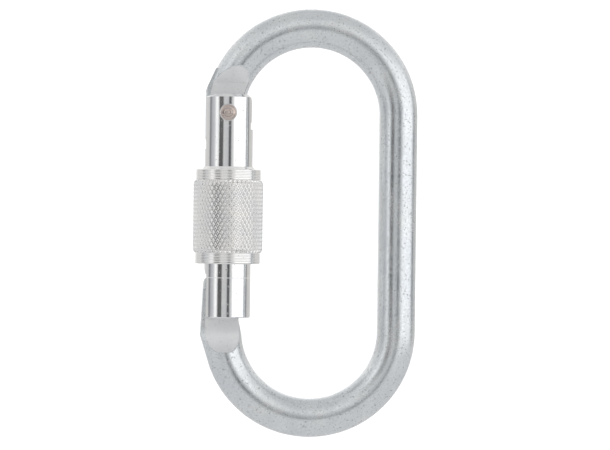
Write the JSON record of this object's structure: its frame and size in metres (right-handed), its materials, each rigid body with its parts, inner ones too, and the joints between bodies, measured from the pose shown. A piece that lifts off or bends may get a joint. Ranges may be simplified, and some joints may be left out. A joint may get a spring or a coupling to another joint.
{
  "type": "locking carabiner",
  "caption": "Oval steel carabiner with a hinged gate and a knurled screw sleeve that slides down over the nose to lock it.",
  "frame": {"origin": "centre of the oval opening, midway between the centres of the two bows, in the middle of the bar's thickness", "axes": "+Z towards the hinge end, +X towards the spine, +Y through the opening along the way a rope passes"},
  "size_m": [0.0579, 0.018, 0.111],
  "materials": {
    "bar_steel": "bright zinc plate, satin and slightly grainy",
    "gate_steel": "bright zinc plate on a turned surface",
    "rivet_steel": "formed head, warm nickel tone",
    "plunger_steel": "polished",
    "spring_wire": "drawn wire",
    "sleeve_steel": "bright zinc plate, turned bands and diamond knurl",
    "ring_steel": "bright zinc plate, turned"
  },
  "bodies": {
    "body": {"body": "bar_steel"},
    "gate": {"gate": "gate_steel", "hinge_rivet": "rivet_steel"},
    "plunger": {"spring_plunger": "plunger_steel", "gate_spring": "spring_wire"},
    "end_ring": {"sleeve_end_ring": "ring_steel"},
    "sleeve": {"locking_sleeve": "sleeve_steel"}
  },
  "joints": [
    {"name": "gate_pivot", "type": "hinge", "parent": "body", "child": "gate", "pos_m": [-0.0214, 0, 0.0282], "axis": [0, -1, 0], "range_deg": [0, 30], "stiffness_Nm_per_rad": 0.3, "springref_deg": -28.65},
    {"name": "plunger_travel", "type": "slide", "parent": "gate", "child": "plunger", "axis": [0, 0, -1], "range_m": [0, 0.00152], "deforming": ["gate_spring"]},
    {"name": "sleeve_travel", "type": "slide", "parent": "gate", "child": "end_ring", "axis": [0, 0, -1], "range_m": [0, 0.009]},
    {"name": "sleeve_turn", "type": "hinge", "parent": "end_ring", "child": "sleeve", "pos_m": [-0.0214, 0, 0], "axis": [0, 0, -1], "range_deg": [0, 1441]}
  ],
  "couplings": [
    {"joint": "plunger_travel", "follows": "gate_pivot", "m_per_rad": 0.0028648},
    {"joint": "sleeve_turn", "follows": "sleeve_travel", "rad_per_m": 2792.5}
  ]
}
